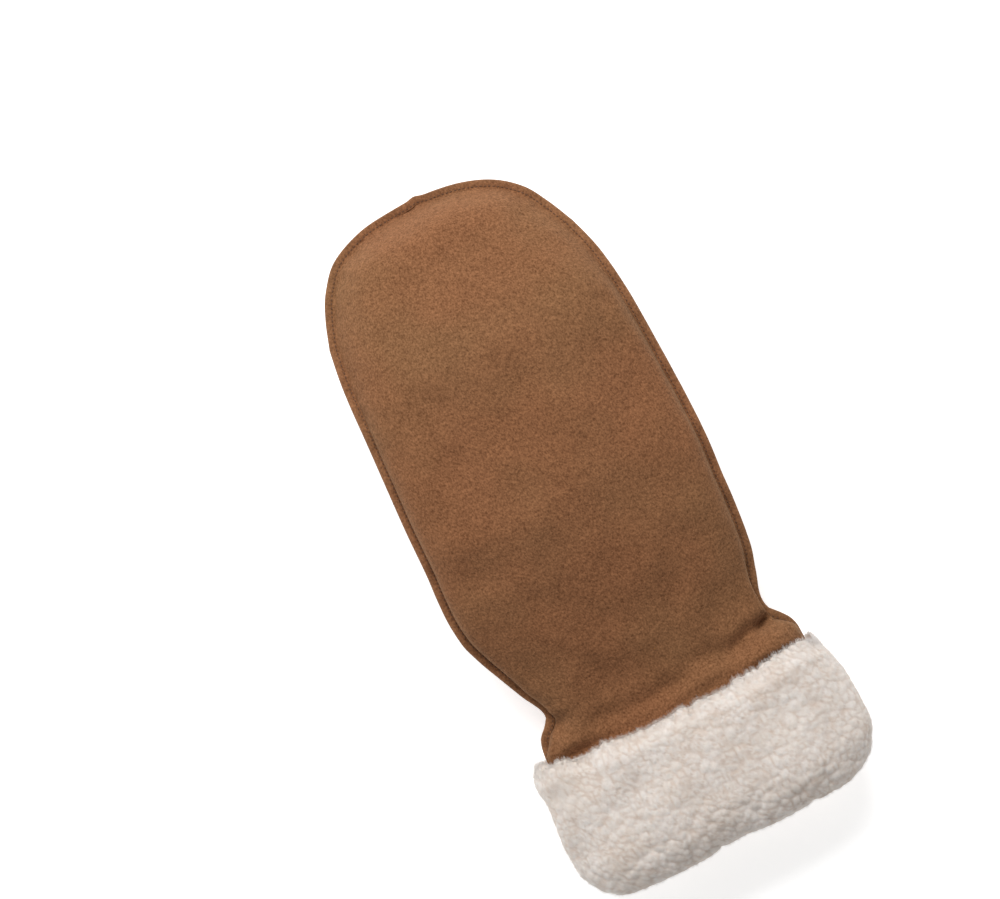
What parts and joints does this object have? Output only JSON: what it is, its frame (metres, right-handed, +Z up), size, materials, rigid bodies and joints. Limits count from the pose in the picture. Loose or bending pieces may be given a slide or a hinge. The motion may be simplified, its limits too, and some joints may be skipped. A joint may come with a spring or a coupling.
{
  "type": "mitten",
  "caption": "Suede leather mitten with outward seams, a folded-out thumb and a turned-up fleece cuff, lying palm down.",
  "frame": {"origin": "on the ground, under the middle of the mitten's outline", "axes": "+Y from the cuff's mouth to the fingertips, +Z up out of the back of the hand, +X away from the thumb's side"},
  "size_m": [0.1329, 0.2911, 0.0584],
  "materials": {
    "suede": "napped suede",
    "fleece": "curled pile"
  },
  "bodies": {
    "root": {"back_panel": "suede", "palm_upper": "suede", "palm_lower": "suede", "cuff": "fleece"}
  },
  "joints": []
}
